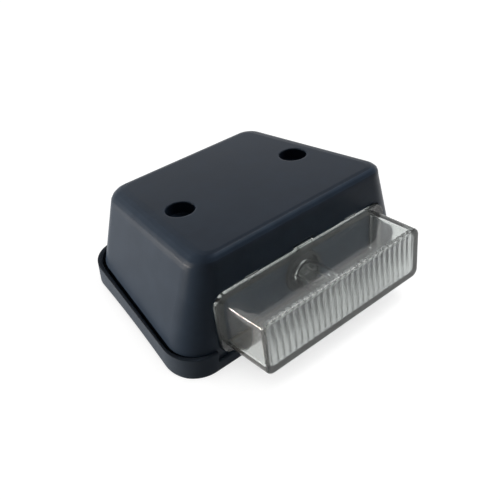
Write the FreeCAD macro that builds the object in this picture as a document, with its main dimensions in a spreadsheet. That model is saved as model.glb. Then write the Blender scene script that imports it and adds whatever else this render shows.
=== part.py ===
import FreeCAD, Part
import math
import os
import Sketcher

# Roof marker light: wedge housing on a rubber base gasket, clear fluted lens, capless bulb.
# Frame: origin midway between the two screw axes on the plane the light rests on,
# +Z up, the lens faces -Y. The lamp frame lies on the housing's front face at the
# bulb axis: x to the right, y up the face, z straight out of it.

os.makedirs("parts", exist_ok=True)
doc = FreeCAD.newDocument("roof_marker_light")

SIZES = [
    # fixing
    ("screw_spacing", 50),
    ("screw_hole_dia", 5),
    ("counterbore_dia", 10),
    ("counterbore_depth", 5.2),
    ("pillar_dia", 14),
    # base gasket
    ("gasket_front_width", 105.2),
    ("gasket_back_width", 87.2),
    ("gasket_front_reach", 34.9),
    ("gasket_back_reach", 34.2),
    ("gasket_front_round", 10.8),
    ("gasket_back_round", 11.8),
    ("gasket_height", 8),
    ("seat_height", 3.6),
    ("seat_width", 6),
    ("roof_radius", 260),
    ("roof_land", 4),
    ("lip_gap", 1.1),
    ("lip_gap_front", 0.15),
    ("lip_notch_width", 78),
    ("pad_dia", 18),
    ("pad_hole_play", 0.6),
    # housing
    ("wedge_angle", 7.5),
    ("front_height", 40.5),
    ("rim_front_width", 101.4),
    ("rim_back_width", 82.2),
    ("rim_front_reach", 33.9),
    ("rim_back_reach", 32.6),
    ("rim_front_round", 10),
    ("rim_back_round", 12),
    ("top_front_width", 81.4),
    ("top_back_width", 65.6),
    ("top_round", 7.5),
    ("top_flat_round", 3.6),
    ("side_edge_round", 6.5),
    ("front_edge_round", 2.6),
    ("back_edge_round", 4),
    ("wall", 2.5),
    ("front_wall", 5),
    ("rib_thickness", 1.8),
    ("rib_top_share", 0.8),
    ("pillar_top_share", 0.6),
    # lamp opening in the front face
    ("axis_height", 15.4),
    ("cut_lead", 6),
    ("recess_depth", 1.6),
    ("recess_play", 0.25),
    ("holder_hole_dia", 12.9),
    ("pry_width", 9),
    ("pry_height", 1.6),
    ("pry_depth", 1.6),
    # lens
    ("flange_width", 74.8),
    ("flange_top", 11.8),
    ("flange_bottom", 9.9),
    ("flange_round", 4),
    ("flange_thickness", 2.2),
    ("seal_thickness", 0.6),
    ("seal_play", 0.3),
    ("lens_width", 70),
    ("lens_top", 9.8),
    ("lens_bottom", 9.8),
    ("lens_round", 3),
    ("lens_projection", 17.6),
    ("lens_draft", 0.6),
    ("lens_wall", 2),
    ("lens_front_wall", 2),
    ("lens_edge_round", 1),
    ("flute_pitch", 2.5),
    ("flute_count", 26),
    ("flute_rise", 0.5),
    ("flute_root", 0.4),
    ("snap_width", 5),
    ("snap_spacing", 44),
    ("snap_rise", 0.5),
    ("snap_thickness", 0.9),
    ("snap_play", 0.2),
    ("tab_width", 6),
    ("tab_rise", 1),
    # bulb holder
    ("holder_flange_dia", 15),
    ("holder_flange_thickness", 1.4),
    ("holder_dish_dia", 12.6),
    ("holder_dish_depth", 1.2),
    ("holder_neck_dia", 12.8),
    ("holder_bead_dia", 15),
    ("holder_bead_length", 2),
    ("holder_bead_taper", 1.6),
    ("holder_body_dia", 13),
    ("holder_length", 17),
    ("neck_play", 0.1),
    ("slot_play", 0.2),
    ("slot_end_play", 0.6),
    # contacts
    ("contact_width", 4.8),
    ("contact_thickness", 0.8),
    ("contact_front_gap", 2.6),
    ("contact_tail", 8),
    ("contact_eye_dia", 1.6),
    # bulb
    ("bulb_tip", 14),
    ("bulb_dia", 10),
    ("bulb_length", 26.8),
    ("bulb_wall", 0.6),
    ("bulb_neck_dia", 8),
    ("bulb_shoulder", 2.2),
    ("bulb_seat_gap", 0.2),
    ("bulb_floor", 1.2),
    ("wedge_width", 9.2),
    ("wedge_thickness", 2.4),
    ("wire_dia", 0.5),
    ("wire_pitch", 5.2),
    ("wire_top", 7),
    ("wire_return", 8),
    ("filament_height", 6),
    ("filament_dia", 0.8),
]

sheet = doc.addObject("Spreadsheet::Sheet", "Sizes")
for row, (alias, number) in enumerate(SIZES, start=1):
    sheet.set("A%d" % row, alias)
    sheet.set("B%d" % row, str(number))
    sheet.setAlias("B%d" % row, alias)
doc.recompute()
NAMES = [alias for alias, number in SIZES]


def formula(text):
    """Turn a formula over the size names into an expression on the sheet."""
    words = []
    word = ""
    for letter in text + " ":
        if letter.isalnum() or letter == "_":
            word += letter
            continue
        words.append("Sizes." + word if word in NAMES else word)
        words.append(letter)
        word = ""
    return "".join(words).strip()


def number(text):
    """Value of a formula at the sheet's present sizes."""
    value = sheet.evalExpression(formula(text))
    return float(getattr(value, "Value", value))


def negated(text):
    return "-(" + text + ")"


def new_body(label):
    body = doc.addObject("PartDesign::Body", label)
    body.Label = label
    return body


def bind(thing, name, text):
    thing.setExpression(name, formula(text))


def origin_feature(body, role):
    return next(item for item in body.Origin.OriginFeatures if item.Role == role)


def new_sketch(body, plane="XY_Plane", lift=None, tilt=None, shift_y=None):
    """Sketch on an origin plane, lifted along its normal, tilted about its own x axis."""
    sketch = body.newObject("Sketcher::SketchObject", body.Label + "_sketch")
    sketch.AttachmentSupport = [(origin_feature(body, plane), "")]
    sketch.MapMode = "FlatFace"
    if tilt:
        sketch.AttachmentOffset = FreeCAD.Placement(
            FreeCAD.Vector(0, 0, 0), FreeCAD.Rotation(FreeCAD.Vector(1, 0, 0), number(tilt)))
        bind(sketch, "AttachmentOffset.Rotation.Angle", tilt)
    if shift_y:
        bind(sketch, "AttachmentOffset.Base.y", shift_y)
    if lift:
        bind(sketch, "AttachmentOffset.Base.z", lift)
    return sketch


def hold(sketch, kind, where, text):
    """Add a driving dimension and bind it to a formula."""
    index = sketch.addConstraint(Sketcher.Constraint(kind, *where, number(text)))
    sketch.setExpression("Constraints[%d]" % index, formula(text))


def pin(sketch, geometry, end, x_text, y_text):
    """Fix a point by its distances from the sketch origin."""
    for kind, text, axis in (("DistanceX", x_text, -2), ("DistanceY", y_text, -1)):
        value = number(text)
        if abs(value) < 1e-9:
            sketch.addConstraint(Sketcher.Constraint("PointOnObject", geometry, end, axis))
        elif value > 0:
            hold(sketch, kind, (-1, 1, geometry, end), text)
        else:
            hold(sketch, kind, (geometry, end, -1, 1), negated(text))


def point(x_text, y_text):
    return FreeCAD.Vector(number(x_text), number(y_text), 0)


def polygon(sketch, corners, construction=False):
    """Closed polygon through (x, y) formulas, counter-clockwise."""
    places = [point(*corner) for corner in corners]
    count = len(places)
    lines = [
        sketch.addGeometry(Part.LineSegment(places[i], places[(i + 1) % count]), construction)
        for i in range(count)
    ]
    for i in range(count):
        sketch.addConstraint(
            Sketcher.Constraint("Coincident", lines[i], 2, lines[(i + 1) % count], 1))
    for i, corner in enumerate(corners):
        pin(sketch, lines[i], 1, *corner)
    return lines


def rounded_polygon(sketch, corners):
    """Closed outline through (x, y, radius) formulas, counter-clockwise, arcs at the corners."""
    guides = polygon(sketch, [corner[:2] for corner in corners], construction=True)
    places = [point(corner[0], corner[1]) for corner in corners]
    count = len(places)
    starts, ends, arcs = [], [], []
    for i, corner in enumerate(corners):
        radius = number(corner[2])
        back = (places[i - 1] - places[i]).normalize()
        ahead = (places[(i + 1) % count] - places[i]).normalize()
        half = math.acos(back.dot(ahead)) / 2
        reach = radius / math.tan(half)
        centre = places[i] + (back + ahead).normalize() * (radius / math.sin(half))
        start = places[i] + back * reach
        end = places[i] + ahead * reach
        first = math.atan2(start.y - centre.y, start.x - centre.x)
        last = math.atan2(end.y - centre.y, end.x - centre.x)
        if last < first:
            last += 2 * math.pi
        circle = Part.Circle(centre, FreeCAD.Vector(0, 0, 1), radius)
        arcs.append(sketch.addGeometry(Part.ArcOfCircle(circle, first, last)))
        starts.append(start)
        ends.append(end)
    lines = [
        sketch.addGeometry(Part.LineSegment(ends[i], starts[(i + 1) % count]))
        for i in range(count)
    ]
    for i in range(count):
        following = (i + 1) % count
        sketch.addConstraint(Sketcher.Constraint("PointOnObject", lines[i], 1, guides[i]))
        sketch.addConstraint(Sketcher.Constraint("PointOnObject", lines[i], 2, guides[i]))
        sketch.addConstraint(Sketcher.Constraint("Tangent", arcs[i], 2, lines[i], 1))
        sketch.addConstraint(Sketcher.Constraint("Tangent", lines[i], 2, arcs[following], 1))
    for i, corner in enumerate(corners):
        hold(sketch, "Radius", (arcs[i],), corner[2])


def circle(sketch, x_text, y_text, diameter):
    index = sketch.addGeometry(
        Part.Circle(point(x_text, y_text), FreeCAD.Vector(0, 0, 1), number(diameter) / 2))
    pin(sketch, index, 3, x_text, y_text)
    hold(sketch, "Diameter", (index,), diameter)
    return index


def trapezoid(front_half, back_half, front_y, back_y, front_round, back_round):
    """Corners of a plan outline, wider at the front."""
    return [
        (negated(front_half), front_y, front_round),
        (front_half, front_y, front_round),
        (back_half, back_y, back_round),
        (negated(back_half), back_y, back_round),
    ]


def rectangle(half, bottom, top, radius=None):
    corners = [(negated(half), bottom), (half, bottom), (half, top), (negated(half), top)]
    return corners if radius is None else [corner + (radius,) for corner in corners]


def box_corners(left, right, bottom, top):
    return [(left, bottom), (right, bottom), (right, top), (left, top)]


def contact_corners(side, slack, reach):
    """Section of a contact strip beside the bulb's pinch; reach runs it on towards the pinch."""
    near = "(wedge_thickness / 2 + wire_dia - " + reach + ")"
    far = "(wedge_thickness / 2 + wire_dia + contact_thickness + " + slack + ")"
    middle = negated(side + "(wire_pitch / 2)")
    left = middle + " - contact_width / 2 - " + slack
    right = middle + " + contact_width / 2 + " + slack
    rows = [negated(far), negated(near)] if side else [near, far]
    return box_corners(left, right, rows[0], rows[1])


def snap_corners(side, row, slack):
    """Outline of a snap lug across the flange's top or bottom edge, grown by the slack."""
    middle = side + "(snap_spacing / 2)"
    left = middle + " - snap_width / 2 - " + slack
    right = middle + " + snap_width / 2 + " + slack
    return box_corners(left, right, row + " - snap_rise - " + slack, row + " + snap_rise + " + slack)


def ridge(sketch, left, right, base, rise, root):
    """Closed section of one flute: an arc that rises below the base line, rooted above it."""
    middle = "((" + left + ") + (" + right + ")) / 2"
    first, last = point(left, base), point(right, base)
    crest = point(middle, base + " - " + rise)
    arc = sketch.addGeometry(Part.Arc(first, crest, last))
    places = [last, point(right, base + " + " + root), point(left, base + " + " + root), first]
    lines = [sketch.addGeometry(Part.LineSegment(a, b)) for a, b in zip(places, places[1:])]
    ends = (1, 2) if (sketch.getPoint(arc, 1) - first).Length < 1e-6 else (2, 1)
    sketch.addConstraint(Sketcher.Constraint("Coincident", arc, ends[1], lines[0], 1))
    sketch.addConstraint(Sketcher.Constraint("Coincident", lines[0], 2, lines[1], 1))
    sketch.addConstraint(Sketcher.Constraint("Coincident", lines[1], 2, lines[2], 1))
    sketch.addConstraint(Sketcher.Constraint("Coincident", lines[2], 2, arc, ends[0]))
    pin(sketch, lines[0], 1, right, base)
    pin(sketch, lines[1], 1, right, base + " + " + root)
    pin(sketch, lines[2], 1, left, base + " + " + root)
    pin(sketch, lines[2], 2, left, base)
    chord = "(" + right + " - (" + left + "))"
    hold(sketch, "Radius", (arc,), "(" + chord + " ^ 2 / 4 + " + rise + " ^ 2) / (2 * " + rise + ")")


def dome(radius, tip, neck, foot, shoulder):
    """Half section of a round-ended tube on the axis: foot, neck, shoulder, wall, end in short steps."""
    corners = [("0", foot), (neck, foot), (radius, shoulder)]
    for angle in DOME_ANGLES:
        corners.append((radius + " * cos(%s)" % angle, tip + " - " + radius + " * (1 - sin(%s))" % angle))
    return corners + [("0", tip)]


def hook(sketch, side, span, top, bend, rise):
    """Path of a lead wire: straight down from the top, across, and back up by the rise."""
    far = side + "(" + span + ")"
    corners = [("0", top), ("0", bend), (far, bend), (far, bend + " + " + rise)]
    places = [point(*corner) for corner in corners]
    runs = [sketch.addGeometry(Part.LineSegment(a, b)) for a, b in zip(places, places[1:])]
    for before, after in zip(runs, runs[1:]):
        sketch.addConstraint(Sketcher.Constraint("Coincident", before, 2, after, 1))
    for run, corner in zip(runs, corners):
        pin(sketch, run, 1, *corner)
    pin(sketch, runs[-1], 2, *corners[-1])


def extrude(body, kind, sketch, length, reverse=False, taper=None, both=False):
    feature = body.newObject("PartDesign::" + kind, body.Label + "_" + kind.lower())
    feature.Profile = sketch
    bind(feature, "Length", length)
    feature.Reversed = reverse
    if both:
        feature.SideType = "Symmetric"
    if taper:
        bind(feature, "TaperAngle", taper)
    sketch.Visibility = False
    body.Tip = feature
    doc.recompute()
    return feature


def loft(body, kind, first, others):
    feature = body.newObject("PartDesign::" + kind, body.Label + "_loft")
    feature.Profile = first
    feature.Sections = others
    feature.Ruled = True
    body.Tip = feature
    doc.recompute()
    return feature


def revolve(body, kind, sketch, axis_role):
    feature = body.newObject("PartDesign::" + kind, body.Label + "_" + kind.lower())
    feature.Profile = sketch
    feature.ReferenceAxis = (origin_feature(body, axis_role), [""])
    feature.Angle = 360
    body.Tip = feature
    doc.recompute()
    return feature


def round_edges(body, radius, wanted):
    """Fillet the edges of the body's tip that pass the test."""
    tip = body.Tip
    names = ["Edge%d" % index for index, edge in enumerate(tip.Shape.Edges, start=1) if wanted(edge)]
    feature = body.newObject("PartDesign::Fillet", body.Label + "_fillet")
    feature.Base = (tip, names)
    bind(feature, "Radius", radius)
    body.Tip = feature
    doc.recompute()
    return feature


def pattern(body, original, axis_role, length, count):
    feature = body.newObject("PartDesign::LinearPattern", body.Label + "_pattern")
    feature.Originals = [original]
    feature.Direction = (origin_feature(body, axis_role), [""])
    bind(feature, "Length", length)
    bind(feature, "Occurrences", count)
    body.Tip = feature
    doc.recompute()
    return feature


def place_in_lamp_frame(body):
    """Put a body drawn in the lamp frame on the housing's front face."""
    bind(body, "Placement.Base.y", "-(" + FACE_Y + ")")
    bind(body, "Placement.Base.z", "axis_height")
    body.Placement.Rotation = FreeCAD.Rotation(
        FreeCAD.Vector(1, 0, 0), number("90 - wedge_angle"))
    bind(body, "Placement.Rotation.Angle", "90 - wedge_angle")


# Angles of the steps in the round end of the bulb.
DOME_ANGLES = (0, 22.5, 45, 67.5)
RIB_TOP = "front_height * rib_top_share"
# How far the front face stands in front of the screw line at the bulb axis and at the top edge.
FACE_Y = "rim_front_reach - (axis_height - gasket_height) * tan(wedge_angle)"
TOP_REACH = "rim_front_reach - (front_height - gasket_height) * tan(wedge_angle)"
# Height of the top face over the screw line.
TOP_MIDDLE = "front_height - (" + TOP_REACH + ") * tan(wedge_angle)"
# Where the inside of the front wall meets the inside of the top, along the top.
INSIDE_REACH = ("cos(wedge_angle) * (rim_front_reach - front_wall - (" + TOP_MIDDLE
                + " - wall / cos(wedge_angle) - gasket_height) * tan(wedge_angle))")
# Depths behind the front face, in the lamp frame.
FLANGE_BACK = "recess_depth - seal_thickness"
HOLDER_FRONT = "recess_depth - holder_flange_thickness"
DISH_FLOOR = HOLDER_FRONT + " + holder_dish_depth"
BULKHEAD_BACK = "front_wall * cos(wedge_angle)"
WEDGE_END = "bulb_length - bulb_tip"

# Base gasket: outline, channel for the housing's rim, opening, screw pads, hollowed underside.
gasket = new_body("base_gasket")
sketch = new_sketch(gasket)
rounded_polygon(sketch, trapezoid(
    "gasket_front_width / 2", "gasket_back_width / 2", "-gasket_front_reach",
    "gasket_back_reach", "gasket_front_round", "gasket_back_round"))
extrude(gasket, "Pad", sketch, "gasket_height")

sketch = new_sketch(gasket, lift="gasket_height")
rounded_polygon(sketch, trapezoid(
    "rim_front_width / 2 + lip_gap", "rim_back_width / 2 + lip_gap",
    "-(rim_front_reach + lip_gap_front)", "rim_back_reach + lip_gap",
    "rim_front_round + lip_gap", "rim_back_round + lip_gap"))
extrude(gasket, "Pocket", sketch, "gasket_height - seat_height")

sketch = new_sketch(gasket, lift="gasket_height")
rounded_polygon(sketch, trapezoid(
    "rim_front_width / 2 - seat_width", "rim_back_width / 2 - seat_width",
    "-(rim_front_reach - seat_width)", "rim_back_reach - seat_width",
    "rim_front_round - seat_width", "rim_back_round - seat_width"))
extrude(gasket, "Pocket", sketch, "gasket_height")

for side in ("-", ""):
    sketch = new_sketch(gasket)
    pad_outer = side + "((rim_front_width + rim_back_width) / 4 - seat_width / 2)"
    pad_inner = side + "(screw_spacing / 2)"
    edges = [pad_outer, pad_inner] if side else [pad_inner, pad_outer]
    polygon(sketch, box_corners(edges[0], edges[1], "-(pad_dia / 2)", "pad_dia / 2"))
    extrude(gasket, "Pad", sketch, "seat_height")
    sketch = new_sketch(gasket)
    circle(sketch, pad_inner, "0", "pad_dia")
    extrude(gasket, "Pad", sketch, "seat_height")

sketch = new_sketch(gasket, lift="gasket_height")
for side in ("-", ""):
    circle(sketch, side + "(screw_spacing / 2)", "0", "screw_hole_dia + pad_hole_play")
extrude(gasket, "Pocket", sketch, "gasket_height")

sketch = new_sketch(gasket, lift="gasket_height")
polygon(sketch, rectangle(
    "lip_notch_width / 2", "-(gasket_front_reach + wall)", "-(rim_front_reach - wall)"))
extrude(gasket, "Pocket", sketch, "gasket_height - seat_height")

ROOF_HALF = "(gasket_front_reach + gasket_back_reach) / 2 - roof_land"
sketch = new_sketch(gasket, plane="YZ_Plane")
circle(sketch, "(gasket_back_reach - gasket_front_reach) / 2",
       "-sqrt(roof_radius ^ 2 - (" + ROOF_HALF + ") ^ 2)", "roof_radius * 2")
extrude(gasket, "Pocket", sketch, "gasket_front_width * 2", both=True)

# Housing: straight rim inside the gasket's lip, then the tapering wedge with a rounded top edge.
housing = new_body("housing")
RIM = trapezoid("rim_front_width / 2", "rim_back_width / 2", "-rim_front_reach",
                "rim_back_reach", "rim_front_round", "rim_back_round")
sketch = new_sketch(housing, lift="seat_height")
rounded_polygon(sketch, RIM)
extrude(housing, "Pad", sketch, "gasket_height - seat_height")
rim_sketch = new_sketch(housing, lift="gasket_height")
rounded_polygon(rim_sketch, RIM)
# Shares of the shoulder's depth at which the rounded top edge has a section, from the flat top down.
SHOULDER_STEPS = (0, 0.06, 0.2, 0.42, 0.68, 1)
FRONT_LEAN = "((rim_front_width - top_front_width) / 2 * cos(wedge_angle) / (front_height - gasket_height))"
BACK_HEIGHT = "(" + TOP_MIDDLE + " - rim_back_reach * tan(wedge_angle) - gasket_height)"
BACK_LEAN = "((rim_back_width - top_back_width) / 2 / " + BACK_HEIGHT + ")"
SHOULDER = "(side_edge_round * (1 - " + FRONT_LEAN + " / sqrt(1 + " + FRONT_LEAN + " ^ 2)))"


def rounded_over(edge, lean, radius, depth):
    """Where a wall stands at a depth below the top, if it meets the top in a round of that radius."""
    inset = radius + " * (sqrt(1 + " + lean + " ^ 2) - " + lean + ")"
    tangent = "(" + radius + " * (1 - " + lean + " / sqrt(1 + " + lean + " ^ 2)))"
    fall = "(" + radius + " - min(" + depth + "; " + tangent + "))"
    return ("(" + edge + " - " + inset + " + sqrt(" + radius + " ^ 2 - " + fall + " ^ 2)"
            + " + max(" + depth + " - " + tangent + "; 0) * " + lean + ")")


def shoulder_section(share):
    """Outline of the wedge in a plane below the flat top, with the rounding of its edges."""
    depth = "(" + SHOULDER + " * " + str(share) + ")"
    front_half = rounded_over("top_front_width / 2", FRONT_LEAN, "side_edge_round", depth)
    back_half = rounded_over("top_back_width / 2", BACK_LEAN, "side_edge_round", depth)
    front = rounded_over("(" + TOP_REACH + ") / cos(wedge_angle)", "0", "front_edge_round", depth)
    back = rounded_over("rim_back_reach / cos(wedge_angle)", "tan(wedge_angle)", "back_edge_round", depth)
    corner = "(top_flat_round + (top_round - top_flat_round) * " + str(share) + " ^ 0.5)"
    section = new_sketch(housing, lift=TOP_MIDDLE + " - " + depth + " * cos(wedge_angle)", tilt="-wedge_angle",
                         shift_y="-" + depth + " * sin(wedge_angle)")
    rounded_polygon(section, trapezoid(front_half, back_half, negated(front), back, corner, corner))
    return section


sections = [shoulder_section(share) for share in SHOULDER_STEPS]
loft(housing, "AdditiveLoft", rim_sketch, [sections[-1]])
loft(housing, "AdditiveLoft", sections[-1], sections[-2::-1])

# Hollow, open below; the front wall is thicker to take the lens.
RIM_INSIDE = trapezoid(
    "rim_front_width / 2 - wall", "rim_back_width / 2 - wall", "-(rim_front_reach - front_wall)",
    "rim_back_reach - wall", "rim_front_round - wall", "rim_back_round - wall")
sketch = new_sketch(housing, lift="seat_height")
rounded_polygon(sketch, RIM_INSIDE)
extrude(housing, "Pocket", sketch, "gasket_height - seat_height", reverse=True)
rim_sketch = new_sketch(housing, lift="gasket_height")
rounded_polygon(rim_sketch, RIM_INSIDE)
top_sketch = new_sketch(housing, lift=TOP_MIDDLE + " - wall / cos(wedge_angle)",
                        tilt="-wedge_angle")
rounded_polygon(top_sketch, trapezoid(
    "top_front_width / 2 - wall", "top_back_width / 2 - wall",
    negated(INSIDE_REACH), "(rim_back_reach - wall) / cos(wedge_angle)",
    "top_round - wall", "top_round - wall"))
loft(housing, "SubtractiveLoft", rim_sketch, [top_sketch])

sketch = new_sketch(housing, lift="seat_height")
for side in ("-", ""):
    circle(sketch, side + "(screw_spacing / 2)", "0", "pillar_dia")
extrude(housing, "Pad", sketch, TOP_MIDDLE + " - wall * pillar_top_share - seat_height")

sketch = new_sketch(housing, lift="front_height")
for side in ("-", ""):
    circle(sketch, side + "(screw_spacing / 2)", "0", "counterbore_dia")
extrude(housing, "Pocket", sketch, "front_height - (" + TOP_MIDDLE + ") + counterbore_depth")

sketch = new_sketch(housing, lift="front_height")
for side in ("-", ""):
    circle(sketch, side + "(screw_spacing / 2)", "0", "screw_hole_dia")
extrude(housing, "Pocket", sketch, "front_height")

LAMP = {
    "tilt": "90 - wedge_angle",
    "lift": "axis_height + cut_lead * sin(wedge_angle)",
    "shift_y": "-(" + FACE_Y + " + cut_lead * cos(wedge_angle))",
}
LAMP_FLANGE = {
    "tilt": "90 - wedge_angle",
    "lift": "axis_height - (" + FLANGE_BACK + ") * sin(wedge_angle)",
    "shift_y": "-(" + FACE_Y + " - (" + FLANGE_BACK + ") * cos(wedge_angle))",
}
sketch = new_sketch(housing, **LAMP)
rounded_polygon(sketch, rectangle(
    "flange_width / 2 + recess_play", "-(flange_bottom + recess_play)",
    "flange_top + recess_play", "flange_round + recess_play"))
extrude(housing, "Pocket", sketch, "cut_lead + recess_depth")

sketch = new_sketch(housing, **LAMP)
circle(sketch, "0", "0", "holder_hole_dia")
extrude(housing, "Pocket", sketch, "cut_lead + front_wall + recess_depth")

# Pockets for the lens's snap lugs in the top and bottom of the rebate.
for row in ("flange_top", "-flange_bottom"):
    for side in ("-", ""):
        sketch = new_sketch(housing, **LAMP_FLANGE)
        polygon(sketch, snap_corners(side, row, "snap_play"))
        extrude(housing, "Pocket", sketch, "snap_thickness + snap_play", reverse=True)

# Slot above the rebate to prise the lens out.
sketch = new_sketch(housing, **LAMP)
polygon(sketch, rectangle("pry_width / 2", "flange_top - pry_height", "flange_top + pry_height"))
extrude(housing, "Pocket", sketch, "cut_lead + pry_depth")

# Ribs from the pillars to the side walls.
for side in ("-", ""):
    sketch = new_sketch(housing, plane="XZ_Plane")
    near = side + "(screw_spacing / 2 + screw_hole_dia)"
    low = side + "((rim_front_width + rim_back_width) / 4 - wall)"
    high = side + "((top_front_width + top_back_width) / 4 - wall / 2)"
    corners = [(near, "gasket_height"), (low, "gasket_height"),
               (high, RIB_TOP), (near, RIB_TOP)]
    polygon(sketch, corners[::-1] if side else corners)
    extrude(housing, "Pad", sketch, "rib_thickness", both=True)

# Lens: flange, drafted box, hollow, flutes, snap lugs, release tab.
lens = new_body("lens")
sketch = new_sketch(lens, lift="-(" + FLANGE_BACK + ")")
rounded_polygon(sketch, rectangle(
    "flange_width / 2", "-flange_bottom", "flange_top", "flange_round"))
extrude(lens, "Pad", sketch, "flange_thickness")
FLANGE_FRONT = "flange_thickness - (" + FLANGE_BACK + ")"
sketch = new_sketch(lens, lift=FLANGE_FRONT)
rounded_polygon(sketch, rectangle("lens_width / 2", "-lens_bottom", "lens_top", "lens_round"))
extrude(lens, "Pad", sketch, "lens_projection", taper="-lens_draft")
LENS_FRONT = FLANGE_FRONT + " + lens_projection"
lens_front = number(LENS_FRONT)
round_edges(lens, "lens_edge_round",
            lambda edge: all(abs(vertex.Point.z - lens_front) < 1e-4 for vertex in edge.Vertexes))

sketch = new_sketch(lens, lift="-(" + FLANGE_BACK + ")")
CAVITY = rectangle("lens_width / 2 - lens_wall", "-(lens_bottom - lens_wall)",
                   "lens_top - lens_wall", "lens_round - lens_wall / 2")
rounded_polygon(sketch, CAVITY)
CAVITY_DEPTH = "flange_thickness + lens_projection - lens_front_wall"
extrude(lens, "Pocket", sketch, CAVITY_DEPTH, reverse=True, taper="-lens_draft")

# Vertical flutes inside the front wall: rounded ridges that end in the top and bottom walls.
FLUTE_BASE = "(" + LENS_FRONT + " - lens_front_wall)"
FLUTE_END = "lens_top - lens_wall"
FLUTE_START = "(flute_pitch * (flute_count - 1) / 2)"
sketch = new_sketch(lens, plane="XZ_Plane", lift="-(" + FLUTE_END + ")")
left = "-" + FLUTE_START + " - flute_pitch / 2"
right = "-" + FLUTE_START + " + flute_pitch / 2"
ridge(sketch, left, right, FLUTE_BASE, "flute_rise", "flute_root")
flute = extrude(lens, "Pad", sketch, "lens_top + lens_bottom - lens_wall * 2")
pattern(lens, flute, "X_Axis", "flute_pitch * (flute_count - 1)", "flute_count")

for row in ("flange_top", "-flange_bottom"):
    for side in ("-", ""):
        sketch = new_sketch(lens, lift="-(" + FLANGE_BACK + ")")
        polygon(sketch, snap_corners(side, row, "0"))
        extrude(lens, "Pad", sketch, "snap_thickness")

sketch = new_sketch(lens)
polygon(sketch, rectangle("tab_width / 2", "flange_top - tab_rise", "flange_top + tab_rise"))
extrude(lens, "Pad", sketch, FLANGE_FRONT)
place_in_lamp_frame(lens)

# Lens seal: flat ring between the flange and the floor of the rebate.
seal = new_body("lens_seal")
sketch = new_sketch(seal, lift="-recess_depth")
rounded_polygon(sketch, rectangle(
    "flange_width / 2 - seal_play", "-(flange_bottom - seal_play)", "flange_top - seal_play",
    "flange_round - seal_play"))
rounded_polygon(sketch, CAVITY)
extrude(seal, "Pad", sketch, "seal_thickness")
place_in_lamp_frame(seal)

# Bulb holder: soft round body gripping the edge of the hole, slots for the bulb and the contacts.
holder = new_body("bulb_holder")
HOLDER_BACK = "(" + HOLDER_FRONT + " + holder_length)"
BEAD_FRONT = "(" + BULKHEAD_BACK + " + neck_play)"
sketch = new_sketch(holder, plane="XZ_Plane")
polygon(sketch, [
    ("0", negated(HOLDER_BACK)),
    ("holder_body_dia / 2", negated(HOLDER_BACK)),
    ("holder_body_dia / 2", negated(BEAD_FRONT + " + holder_bead_length + holder_bead_taper")),
    ("holder_bead_dia / 2", negated(BEAD_FRONT + " + holder_bead_length")),
    ("holder_bead_dia / 2", negated(BEAD_FRONT)),
    ("holder_neck_dia / 2", negated(BEAD_FRONT)),
    ("holder_neck_dia / 2", "-recess_depth"),
    ("holder_flange_dia / 2", "-recess_depth"),
    ("holder_flange_dia / 2", negated(HOLDER_FRONT)),
    ("holder_dish_dia / 2", negated(HOLDER_FRONT)),
    ("holder_dish_dia / 2", negated(DISH_FLOOR)),
    ("0", negated(DISH_FLOOR)),
])
revolve(holder, "Revolution", sketch, "Z_Axis")
sketch = new_sketch(holder)
polygon(sketch, rectangle("wedge_width / 2 + slot_play", "-(wedge_thickness / 2 + slot_play)",
                          "wedge_thickness / 2 + slot_play"))
extrude(holder, "Pocket", sketch, WEDGE_END + " + wedge_thickness + slot_end_play")
CONTACT_FRONT = "(" + DISH_FLOOR + " + contact_front_gap)"
for side in ("-", ""):
    sketch = new_sketch(holder, lift=negated(HOLDER_BACK))
    polygon(sketch, contact_corners(side, "0", "wedge_thickness / 4"))
    extrude(holder, "Pocket", sketch, HOLDER_BACK + " - " + CONTACT_FRONT, reverse=True)
place_in_lamp_frame(holder)

# Contacts: flat brass strips pressed on the lead wires, each ending in a blade with an eye.
contacts = []
for side, label in (("", "contact_upper"), ("-", "contact_lower")):
    body = new_body(label)
    contacts.append(body)
    sketch = new_sketch(body, lift=negated(HOLDER_BACK + " + contact_tail"))
    polygon(sketch, contact_corners(side, "0", "0"))
    extrude(body, "Pad", sketch, HOLDER_BACK + " + contact_tail - " + CONTACT_FRONT)
    sketch = new_sketch(body, plane="XZ_Plane")
    circle(sketch, negated(side + "(wire_pitch / 2)"),
           negated(HOLDER_BACK + " + contact_tail - contact_width / 2"), "contact_eye_dia")
    extrude(body, "Pocket", sketch, "holder_body_dia", both=True)
    place_in_lamp_frame(body)

# Bulb glass: hollow envelope on a flat pinch, bored for the two lead wires.
glass = new_body("bulb_glass")
BULB_FOOT = "(" + DISH_FLOOR + " - bulb_seat_gap)"
sketch = new_sketch(glass, plane="XZ_Plane")
polygon(sketch, dome("(bulb_dia / 2)", "bulb_tip", "bulb_neck_dia / 2", negated(BULB_FOOT),
                     negated(BULB_FOOT) + " + bulb_shoulder"))
revolve(glass, "Revolution", sketch, "Z_Axis")
sketch = new_sketch(glass, lift=negated(BULB_FOOT))
polygon(sketch, rectangle("wedge_width / 2", "-(wedge_thickness / 2)", "wedge_thickness / 2"))
extrude(glass, "Pad", sketch, WEDGE_END + " - " + BULB_FOOT, reverse=True)
sketch = new_sketch(glass, plane="XZ_Plane")
polygon(sketch, dome("(bulb_dia / 2 - bulb_wall)", "bulb_tip - bulb_wall",
                     "bulb_neck_dia / 2 - bulb_wall", negated(BULB_FOOT) + " + bulb_floor",
                     negated(BULB_FOOT) + " + bulb_shoulder + bulb_wall"))
revolve(glass, "Groove", sketch, "Z_Axis")
sketch = new_sketch(glass)
for side in ("-", ""):
    circle(sketch, side + "(wire_pitch / 2)", "0", "wire_dia")
extrude(glass, "Pocket", sketch, WEDGE_END + " + wedge_thickness")
place_in_lamp_frame(glass)

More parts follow.
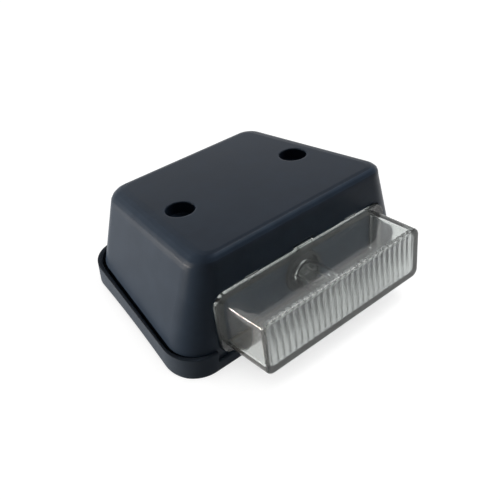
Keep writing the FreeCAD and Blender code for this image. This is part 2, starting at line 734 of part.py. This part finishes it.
# Lead wires: straight through the pinch, over its end and back up its face.
leads = []
for side, label in (("", "bulb_lead_upper"), ("-", "bulb_lead_lower")):
    body = new_body(label)
    leads.append(body)
    span = "wedge_thickness / 2 + wire_dia / 2"
    path = new_sketch(body, plane="YZ_Plane", lift=negated(side + "(wire_pitch / 2)"))
    hook(path, side, span, "wire_top", negated(WEDGE_END + " + wire_dia / 2"), "wire_return")
    profile = new_sketch(body, lift="wire_top")
    circle(profile, negated(side + "(wire_pitch / 2)"), "0", "wire_dia")
    pipe = body.newObject("PartDesign::AdditivePipe", label + "_pipe")
    pipe.Profile = profile
    pipe.Spine = (path, ["Edge1", "Edge2", "Edge3"])
    pipe.Transition = "Right corner"
    body.Tip = pipe
    doc.recompute()
    place_in_lamp_frame(body)

# Filament: the coil's outline as a plain rod between the lead wires.
filament = new_body("bulb_filament")
sketch = new_sketch(filament, plane="YZ_Plane")
circle(sketch, "0", "0", "filament_dia")
extrude(filament, "Pad", sketch, "wire_pitch - wire_dia", both=True)
place_in_lamp_frame(filament)
bind(filament, "Placement.Base.y", "-(" + FACE_Y + ") - filament_height * cos(wedge_angle)")
bind(filament, "Placement.Base.z", "axis_height + filament_height * sin(wedge_angle)")
doc.recompute()

PARTS = [gasket, housing, lens, seal, holder] + contacts + [glass, filament] + leads
for item in doc.Objects:
    if "Invalid" in item.State or "Error" in item.State:
        raise RuntimeError("%s did not build: %s" % (item.Label, item.getStatusString()))
for body in PARTS:
    shape = body.Shape
    if shape.isNull() or not shape.isValid():
        raise RuntimeError("%s has no valid shape" % body.Label)
    shape.exportStep("parts/%s.step" % body.Label)
    print(body.Label, len(shape.Solids), round(shape.Volume, 1))
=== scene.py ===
"""Looks of the roof marker light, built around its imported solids, in metres in their frame."""
import math

import bmesh
import bpy
from mathutils import Matrix, Vector


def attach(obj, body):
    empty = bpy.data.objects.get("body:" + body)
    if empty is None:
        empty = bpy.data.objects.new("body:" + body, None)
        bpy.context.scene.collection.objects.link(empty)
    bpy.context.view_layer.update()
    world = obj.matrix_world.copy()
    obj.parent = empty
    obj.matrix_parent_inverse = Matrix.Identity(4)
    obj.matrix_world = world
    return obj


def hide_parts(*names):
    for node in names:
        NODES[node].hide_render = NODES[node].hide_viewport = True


MM = 0.001

# The camera stands where the photograph was taken from.
CAMERA_AT = Vector((-124.1, -150.4, 163.4)) * MM
CAMERA_AZIMUTH = math.radians(-40.44)
CAMERA_ELEVATION = math.radians(38.88)
CAMERA_ROLL = math.radians(-1.13)
SENSOR_MM = 36.0
FOCAL_PIXELS = 683.0
FRAME_PIXELS = 500.0

# Moulded surfaces
EDGE_SOFTNESS = 0.9 * MM
RUBBED_EDGE = 1.5 * MM
PATCH_SIZE = 6 * MM
TONE_SIZE = 24 * MM
DUST_SHARE = 0.18
DUST_PALER = 1.35
# Worn edges are paler, and the tight front-top round is paler still as a painted highlight.
PALER_FOR_WEAR_AND_HIGHLIGHT = 2.2
PATCH_RELIEF = 0.15
FRONT_TOP_ROUND = (0.0, -0.61, 0.79)

# Glass and metal
SMEAR_SIZE = 5 * MM
DULL_SIZE = 2 * MM
DRAWN_LINE_DEPTH = 0.004 * MM

# Lens: its front wall is hazy, and its plastic takes a little light over long paths
LAMP_AXIS = (0.0, -0.9914, 0.1305)
FRONT_WALL_FROM = 50.6 * MM
FRONT_WALL_TO = 51.6 * MM
FRONT_WALL_HAZE = 0.28
LENS_SMOKE = (0.50, 0.53, 0.52, 1.0)
LENS_SMOKE_DENSITY = 90.0

# Studio
FLOOR_HALF = 3.0
FLOOR_GREY = (0.25, 0.25, 0.25, 1.0)
FLOOR_WHITE = 0.985
# Near the part the floor's glow is dimmed by ambient occlusion: a painted contact shadow.
FLOOR_SHADE = 0.60
SHADE_REACH = 0.03
SHADE_RANGE = (0.05, 0.65)
WORLD_FILL = 0.04
LAMP_TARGET = (0.0, 0.0, 0.02)
WARM = (1.0, 0.91, 0.81)

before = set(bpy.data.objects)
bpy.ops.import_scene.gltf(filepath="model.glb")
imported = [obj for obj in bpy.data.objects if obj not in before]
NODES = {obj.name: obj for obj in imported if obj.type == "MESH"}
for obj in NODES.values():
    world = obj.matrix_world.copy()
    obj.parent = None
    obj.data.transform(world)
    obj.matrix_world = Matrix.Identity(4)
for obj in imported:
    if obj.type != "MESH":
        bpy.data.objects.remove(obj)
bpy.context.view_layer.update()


# Shader helpers


def new_material(name):
    """A node material, its node tree and its shader."""
    made = bpy.data.materials.new(name)
    made.use_nodes = True
    tree = made.node_tree
    shader = tree.nodes["Principled BSDF"]
    return made, tree, shader


def add(tree, kind, settings=None, **inputs):
    """Adds a node; a value that is a socket is linked, any other value is set on the input."""
    made = tree.nodes.new(kind)
    for key, value in (settings or {}).items():
        setattr(made, key, value)
    for key, value in inputs.items():
        socket = made.inputs[key]
        if isinstance(value, bpy.types.NodeSocket):
            tree.links.new(value, socket)
        else:
            socket.default_value = value
    return made


def math_node(tree, operation, *values):
    """A Math node of up to three values, each a socket or a number."""
    made = add(tree, "ShaderNodeMath", {"operation": operation})
    for at, value in enumerate(values):
        if isinstance(value, bpy.types.NodeSocket):
            tree.links.new(value, made.inputs[at])
        else:
            made.inputs[at].default_value = value
    return made.outputs[0]


def noise(tree, place, size, detail, stretch=None):
    """Noise whose features are about size metres across."""
    if stretch:
        mapping = add(tree, "ShaderNodeMapping", Vector=place)
        mapping.inputs["Scale"].default_value = stretch
        place = mapping.outputs[0]
    made = add(tree, "ShaderNodeTexNoise", Vector=place,
               Scale=1.0 / size, Detail=detail, Roughness=0.55)
    return made.outputs[0]


def spread(tree, value, low, high, start=0.3, end=0.7):
    """Maps start to end, by default the middle of a noise pattern, to low to high."""
    made = add(tree, "ShaderNodeMapRange", {"clamp": True}, Value=value)
    made.inputs["From Min"].default_value = start
    made.inputs["From Max"].default_value = end
    made.inputs["To Min"].default_value = low
    made.inputs["To Max"].default_value = high
    return made.outputs[0]


def mix_colour(tree, factor, first, second):
    """Mixes two colours, each a socket or a tuple."""
    made = add(tree, "ShaderNodeMix", {"data_type": "RGBA"})
    for name, value in (("Factor", factor), ("A", first), ("B", second)):
        socket = [s for s in made.inputs if s.name == name and s.enabled][0]
        if isinstance(value, bpy.types.NodeSocket):
            tree.links.new(value, socket)
        else:
            socket.default_value = value if name == "Factor" else (*value, 1.0)
    return [s for s in made.outputs if s.enabled][0]


def along(tree, vector, direction):
    """How far a vector socket points, or lies, along a direction."""
    made = add(tree, "ShaderNodeVectorMath", {"operation": "DOT_PRODUCT"})
    tree.links.new(vector, made.inputs[0])
    made.inputs[1].default_value = direction
    return made.outputs["Value"]


def bump(tree, height, depth, normal=None):
    """A Bump node of the given depth in metres."""
    made = add(tree, "ShaderNodeBump", Height=height, Distance=depth)
    made.inputs["Strength"].default_value = 1.0
    if normal is not None:
        tree.links.new(normal, made.inputs["Normal"])
    return made.outputs[0]


def edge_mask(tree, radius):
    """0 on flat surface, rising to 1 along edges and corners."""
    rounded = add(tree, "ShaderNodeBevel", {"samples": 4}, Radius=radius)
    plain = add(tree, "ShaderNodeNewGeometry")
    match = add(tree, "ShaderNodeVectorMath", {"operation": "DOT_PRODUCT"})
    tree.links.new(rounded.outputs[0], match.inputs[0])
    tree.links.new(plain.outputs["Normal"], match.inputs[1])
    return spread(tree, match.outputs["Value"], 1.0, 0.0, 0.85, 0.995)


def front_top_highlight_mask(tree, place):
    """Painted highlight: 1 on the tight round between the front and the top, 0 on both of them.
    """
    facing = along(tree, place.node.outputs["Normal"], FRONT_TOP_ROUND)
    return spread(tree, facing, 0.0, 1.0, 0.88, 0.98)


def moulded(name, dark, light, low, high, grain, depth, level, wear_and_highlight):
    """Moulded plastic or rubber: fine grain, patches of sheen, dust, paler worn edges and a
    painted highlight on the front-top round.
    """
    made, tree, shader = new_material(name)
    place = add(tree, "ShaderNodeTexCoord").outputs["Object"]
    fine = noise(tree, place, grain, 2.0)
    patches = noise(tree, place, PATCH_SIZE, 4.0)
    broad = noise(tree, place, TONE_SIZE, 3.0)
    colour = mix_colour(tree, spread(tree, broad, 0.0, 1.0), dark, light)
    dust = spread(tree, patches, 0.0, DUST_SHARE, 0.48, 0.75)
    colour = mix_colour(tree, dust, colour, [DUST_PALER * part for part in light])
    if wear_and_highlight:
        edge_wear = spread(tree, patches, 0.15, wear_and_highlight)
        worn_and_highlit = math_node(tree, "MULTIPLY", edge_mask(tree, RUBBED_EDGE), edge_wear)
        # The front-top round is painted paler as a highlight, over the paler worn edges.
        shoulder_highlight = spread(tree, patches, 0.45, 1.3 * wear_and_highlight)
        shoulder = math_node(tree, "MULTIPLY", front_top_highlight_mask(tree, place), shoulder_highlight)
        worn_and_highlit = math_node(tree, "MAXIMUM", worn_and_highlit, shoulder)
        colour = mix_colour(tree, worn_and_highlit, colour, [PALER_FOR_WEAR_AND_HIGHLIGHT * part for part in light])
    tree.links.new(colour, shader.inputs["Base Color"])
    tree.links.new(spread(tree, patches, low, high), shader.inputs["Roughness"])
    shader.inputs["Specular IOR Level"].default_value = level
    height = math_node(tree, "ADD", fine, math_node(tree, "MULTIPLY", patches, PATCH_RELIEF))
    soft_edges = add(tree, "ShaderNodeBevel", {"samples": 4}, Radius=EDGE_SOFTNESS).outputs[0]
    tree.links.new(bump(tree, height, depth, soft_edges), shader.inputs["Normal"])
    return made


def hazy_front(tree, place, roughness):
    """Raises a roughness on both faces of the lens's front wall, but not on its rim."""
    depth = along(tree, place, LAMP_AXIS)
    haze = spread(tree, depth, 0.0, FRONT_WALL_HAZE, FRONT_WALL_FROM, FRONT_WALL_TO)
    facing = math_node(tree, "ABSOLUTE", along(tree, place.node.outputs["Normal"], LAMP_AXIS))
    wall = spread(tree, facing, 0.0, 1.0, 0.6, 0.8)
    return math_node(tree, "MULTIPLY_ADD", haze, wall, roughness)


def clear(name, colour, ior, low, high, ripple, depth, clarity, is_lens=False):
    """Clear plastic or glass with faint waviness and smears; a lens is also hazy and smoky."""
    made, tree, shader = new_material(name)
    place = add(tree, "ShaderNodeTexCoord").outputs["Object"]
    waves = noise(tree, place, ripple, 1.0)
    smears = noise(tree, place, SMEAR_SIZE, 4.0)
    shader.inputs["Base Color"].default_value = (*colour, 1.0)
    shader.inputs["Transmission Weight"].default_value = clarity
    shader.inputs["IOR"].default_value = ior
    roughness = spread(tree, smears, low, high)
    if is_lens:
        roughness = hazy_front(tree, place, roughness)
    tree.links.new(roughness, shader.inputs["Roughness"])
    tree.links.new(bump(tree, waves, depth), shader.inputs["Normal"])
    if is_lens:
        smoke = add(tree, "ShaderNodeVolumeAbsorption",
                    Color=LENS_SMOKE, Density=LENS_SMOKE_DENSITY)
        tree.links.new(smoke.outputs[0], tree.nodes["Material Output"].inputs["Volume"])
    return made


def metal(name, colour, dull, low, high, grain):
    """Thin stamped or drawn metal with fine lines and dull patches."""
    made, tree, shader = new_material(name)
    place = add(tree, "ShaderNodeTexCoord").outputs["Object"]
    lines = noise(tree, place, grain, 3.0, stretch=(1.0, 0.15, 1.0))
    patches = noise(tree, place, DULL_SIZE, 3.0)
    tone = mix_colour(tree, spread(tree, patches, 0.0, 1.0), colour, dull)
    tree.links.new(tone, shader.inputs["Base Color"])
    shader.inputs["Metallic"].default_value = 1.0
    tree.links.new(spread(tree, lines, low, high), shader.inputs["Roughness"])
    tree.links.new(bump(tree, lines, DRAWN_LINE_DEPTH), shader.inputs["Normal"])
    return made


# Materials of the solids

FINISHES = {
    "housing": moulded("housing_plastic", (0.022, 0.035, 0.057), (0.028, 0.043, 0.068),
                       0.31, 0.36, 0.30 * MM, 0.010 * MM, 0.09, 0.60),
    "base_gasket": moulded("gasket_rubber", (0.034, 0.046, 0.064), (0.043, 0.056, 0.076),
                           0.55, 0.70, 0.40 * MM, 0.030 * MM, 0.12, 0.2),
    "lens_seal": moulded("seal_rubber", (0.020, 0.021, 0.023), (0.030, 0.031, 0.034),
                         0.60, 0.75, 0.40 * MM, 0.020 * MM, 0.15, 0.0),
    "bulb_holder": moulded("holder_rubber", (0.030, 0.031, 0.034), (0.045, 0.046, 0.050),
                           0.50, 0.66, 0.35 * MM, 0.020 * MM, 0.20, 0.3),
    "lens": clear("lens_clear", (0.93, 0.95, 0.94), 1.49,
                  0.04, 0.10, 9 * MM, 0.020 * MM, 0.94, is_lens=True),
    "bulb_glass": clear("bulb_glass", (0.98, 0.99, 0.98), 1.47,
                        0.0, 0.03, 4 * MM, 0.010 * MM, 1.0),
    "contact_upper": metal("contact_brass", (0.72, 0.52, 0.22), (0.50, 0.36, 0.17),
                           0.25, 0.45, 0.3 * MM),
    "bulb_filament": metal("bulb_wire", (0.52, 0.51, 0.50), (0.36, 0.35, 0.34),
                           0.25, 0.45, 0.1 * MM),
}
FINISHES["contact_lower"] = FINISHES["contact_upper"]
FINISHES["bulb_lead_upper"] = FINISHES["bulb_filament"]
FINISHES["bulb_lead_lower"] = FINISHES["bulb_filament"]

for node_name, finish in FINISHES.items():
    mesh = NODES[node_name].data
    mesh.materials.clear()
    mesh.materials.append(finish)


# Bulb: blown envelope and coiled filament, in millimetres in the lamp frame,
# which lies on the housing's front face with its axis straight out of it

LAMP_ORIGIN = Matrix.Translation((0.0, -32.926 * MM, 15.4 * MM))
LAMP_FRAME = LAMP_ORIGIN @ Matrix.Rotation(math.radians(82.5), 4, "X")
BULB_FOOT = -1.2
BULB_TIP = 14.0
BULB_RADIUS = 5.0
BULB_WALL = 0.6
BULB_NECK = 4.0
BULB_SHOULDER = 2.2
BULB_FLOOR = 1.2
PINCH_HALF = (4.6, 1.2)
PINCH_END = -12.8
FILAMENT_HEIGHT = 6.0
FILAMENT_HALF = 2.35
COIL_RADIUS = 0.31
COIL_WIRE = 0.085
COIL_TURNS = 13
COIL_STEPS = 16
COIL_SIDES = 6
PINCH_EDGE = 0.35
TURN_STEPS = 48
DOME_STEPS = 10
SHARP_ANGLE = math.radians(40.0)


def add_piece(name, build, finish, node_name):
    """A mesh piece, drawn in millimetres in the lamp frame, that stands for a solid."""
    made = bmesh.new()
    hollow = build(made)
    bmesh.ops.recalc_face_normals(made, faces=made.faces)
    if hollow:
        bmesh.ops.reverse_faces(made, faces=hollow)
    bmesh.ops.scale(made, vec=(MM, MM, MM), verts=made.verts)
    bmesh.ops.transform(made, matrix=LAMP_FRAME, verts=made.verts)
    for face in made.faces:
        face.smooth = True
    mesh = bpy.data.meshes.new(name)
    made.to_mesh(mesh)
    made.free()
    mesh.set_sharp_from_angle(angle=SHARP_ANGLE)
    mesh.materials.append(finish)
    piece = bpy.data.objects.new(name, mesh)
    bpy.context.scene.collection.objects.link(piece)
    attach(piece, "root")
    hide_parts(node_name)


def ring_rows(made, rows, closed_ends):
    """Skins a list of vertex rings and closes the given end rings with a face."""
    for near, far in zip(rows, rows[1:]):
        count = max(len(near), len(far))
        for at in range(count):
            after = (at + 1) % count
            corners = [near[at % len(near)], near[after % len(near)],
                       far[after % len(far)], far[at % len(far)]]
            made.faces.new(list(dict.fromkeys(corners)))
    for ring in closed_ends:
        made.faces.new(ring)


def turned(made, profile):
    """Turns a profile of (radius, height) about the axis; a radius of 0 is a single point."""
    rows = []
    for radius, height in profile:
        if radius == 0.0:
            rows.append([made.verts.new((0.0, 0.0, height))])
            continue
        angles = [math.tau * at / TURN_STEPS for at in range(TURN_STEPS)]
        rows.append([made.verts.new((radius * math.cos(a), radius * math.sin(a), height))
                     for a in angles])
    ring_rows(made, rows, [])


def envelope(radius, neck, foot, shoulder, tip):
    """Half profile of a round-ended glass tube, from its foot on the axis to its tip."""
    centre = tip - radius
    dome = [(radius * math.cos(a), centre + radius * math.sin(a))
            for a in [math.pi / 2 * at / DOME_STEPS for at in range(DOME_STEPS)]]
    return [(0.0, foot), (neck, foot), (radius, shoulder)] + dome + [(0.0, tip)]


def build_glass(made):
    """Envelope and the flat pinch below it; returns the faces of the hollow."""
    shoulder = BULB_FOOT + BULB_SHOULDER
    turned(made, envelope(BULB_RADIUS, BULB_NECK, BULB_FOOT, shoulder, BULB_TIP))
    outside = set(made.faces)
    turned(made, envelope(BULB_RADIUS - BULB_WALL, BULB_NECK - BULB_WALL, BULB_FOOT + BULB_FLOOR,
                          shoulder + BULB_WALL, BULB_TIP - BULB_WALL))
    hollow = [face for face in made.faces if face not in outside]
    half_x, half_y = PINCH_HALF
    cube = bmesh.ops.create_cube(made, size=1.0)["verts"]
    bmesh.ops.scale(made, vec=(2 * half_x, 2 * half_y, BULB_FOOT - PINCH_END), verts=cube)
    bmesh.ops.translate(made, vec=(0.0, 0.0, (BULB_FOOT + PINCH_END) / 2), verts=cube)
    edges = list({edge for vert in cube for edge in vert.link_edges})
    bmesh.ops.bevel(made, geom=edges, offset=PINCH_EDGE, segments=3, affect="EDGES", profile=0.5)
    return hollow


def build_coil(made):
    """A close coil of wire along x between the two lead wires."""
    rows = []
    along_x = Vector((1.0, 0.0, 0.0))
    count = COIL_TURNS * COIL_STEPS
    for at in range(count + 1):
        share = at / count
        angle = math.tau * COIL_TURNS * share
        out = Vector((0.0, math.cos(angle), math.sin(angle)))
        middle = Vector((FILAMENT_HALF * (2.0 * share - 1.0), 0.0, FILAMENT_HEIGHT))
        centre = middle + COIL_RADIUS * out
        ring = []
        for side in range(COIL_SIDES):
            turn = math.tau * side / COIL_SIDES
            offset = COIL_WIRE * (math.cos(turn) * out + math.sin(turn) * along_x)
            ring.append(made.verts.new(centre + offset))
        rows.append(ring)
    ring_rows(made, rows, [rows[0], rows[-1]])


add_piece("bulb_envelope", build_glass, FINISHES["bulb_glass"],
          "bulb_glass")
add_piece("filament_coil", build_coil, FINISHES["bulb_filament"],
          "bulb_filament")


# Floor, world and lamps


def seen_directly(tree):
    """1 for rays that show the background itself: from the camera, in gloss and through glass."""
    path = add(tree, "ShaderNodeLightPath")
    rays = [path.outputs[f"Is {kind} Ray"] for kind in ("Camera", "Glossy", "Transmission")]
    return math_node(tree, "MAXIMUM", math_node(tree, "MAXIMUM", rays[0], rays[1]), rays[2])


def build_floor():
    """A large pale floor, white where it is seen; the part's contact shadow is painted into its
    glow.
    """
    half = FLOOR_HALF
    mesh = bpy.data.meshes.new("studio_floor")
    corners = [(-half, -half, 0.0), (half, -half, 0.0), (half, half, 0.0), (-half, half, 0.0)]
    mesh.from_pydata(corners, [], [(0, 1, 2, 3)])
    floor = bpy.data.objects.new("studio_floor", mesh)
    bpy.context.scene.collection.objects.link(floor)
    made, tree, shader = new_material("studio_floor")
    shader.inputs["Base Color"].default_value = FLOOR_GREY
    shader.inputs["Roughness"].default_value = 1.0
    shader.inputs["Specular IOR Level"].default_value = 0.0
    shader.inputs["Emission Color"].default_value = (1.0, 1.0, 1.0, 1.0)
    # Painted contact shadow: ambient occlusion dims the glow near the part.
    cover = add(tree, "ShaderNodeAmbientOcclusion", {"samples": 8}, Distance=SHADE_REACH)
    painted_shadow = spread(tree, cover.outputs["AO"], FLOOR_SHADE, FLOOR_WHITE, *SHADE_RANGE)
    glow = math_node(tree, "MULTIPLY", seen_directly(tree), painted_shadow)
    tree.links.new(glow, shader.inputs["Emission Strength"])
    mesh.materials.append(made)


def build_world():
    """White where it is seen, a weak grey fill where it only lights."""
    world = bpy.data.worlds.new("studio")
    bpy.context.scene.world = world
    world.use_nodes = True
    tree = world.node_tree
    strength = spread(tree, seen_directly(tree), WORLD_FILL, 1.0, 0.0, 1.0)
    background = tree.nodes["Background"]
    background.inputs["Color"].default_value = (1.0, 1.0, 1.0, 1.0)
    tree.links.new(strength, background.inputs["Strength"])


def add_lamp(name, place, size, power, colour=(1.0, 1.0, 1.0)):
    """A soft box of the given width and height that points to the part."""
    data = bpy.data.lights.new(name, "AREA")
    data.shape = "RECTANGLE"
    data.size, data.size_y = size
    data.energy = power
    data.color = colour
    lamp = bpy.data.objects.new(name, data)
    bpy.context.scene.collection.objects.link(lamp)
    lamp.location = place
    aim = Vector(LAMP_TARGET) - Vector(place)
    lamp.rotation_euler = aim.to_track_quat("-Z", "Y").to_euler()


def build_camera():
    """The photograph's camera."""
    azimuth = CAMERA_AZIMUTH
    right = Vector((math.cos(azimuth), math.sin(azimuth), 0.0))
    rise = CAMERA_ELEVATION
    back = Vector((math.sin(azimuth) * math.cos(rise),
                   -math.cos(azimuth) * math.cos(rise),
                   math.sin(rise)))
    up = back.cross(right)
    turn = CAMERA_ROLL
    rolled_right = math.cos(turn) * right + math.sin(turn) * up
    rolled_up = math.cos(turn) * up - math.sin(turn) * right
    pose = Matrix((rolled_right, rolled_up, back)).transposed().to_4x4()
    pose.translation = CAMERA_AT
    data = bpy.data.cameras.new("camera")
    data.sensor_width = SENSOR_MM
    data.lens = FOCAL_PIXELS / FRAME_PIXELS * SENSOR_MM
    data.clip_start = 0.01
    camera = bpy.data.objects.new("camera", data)
    bpy.context.scene.collection.objects.link(camera)
    camera.matrix_world = pose
    bpy.context.scene.camera = camera


build_floor()
build_world()
add_lamp("key_lamp", (-0.46, 0.28, 0.019), (0.4, 0.034), 3.6, WARM)
add_lamp("top_lamp", (0.42, -0.02, 0.80), (0.3, 0.3), 2.6)
build_camera()
bpy.context.scene.view_settings.view_transform = "Standard"
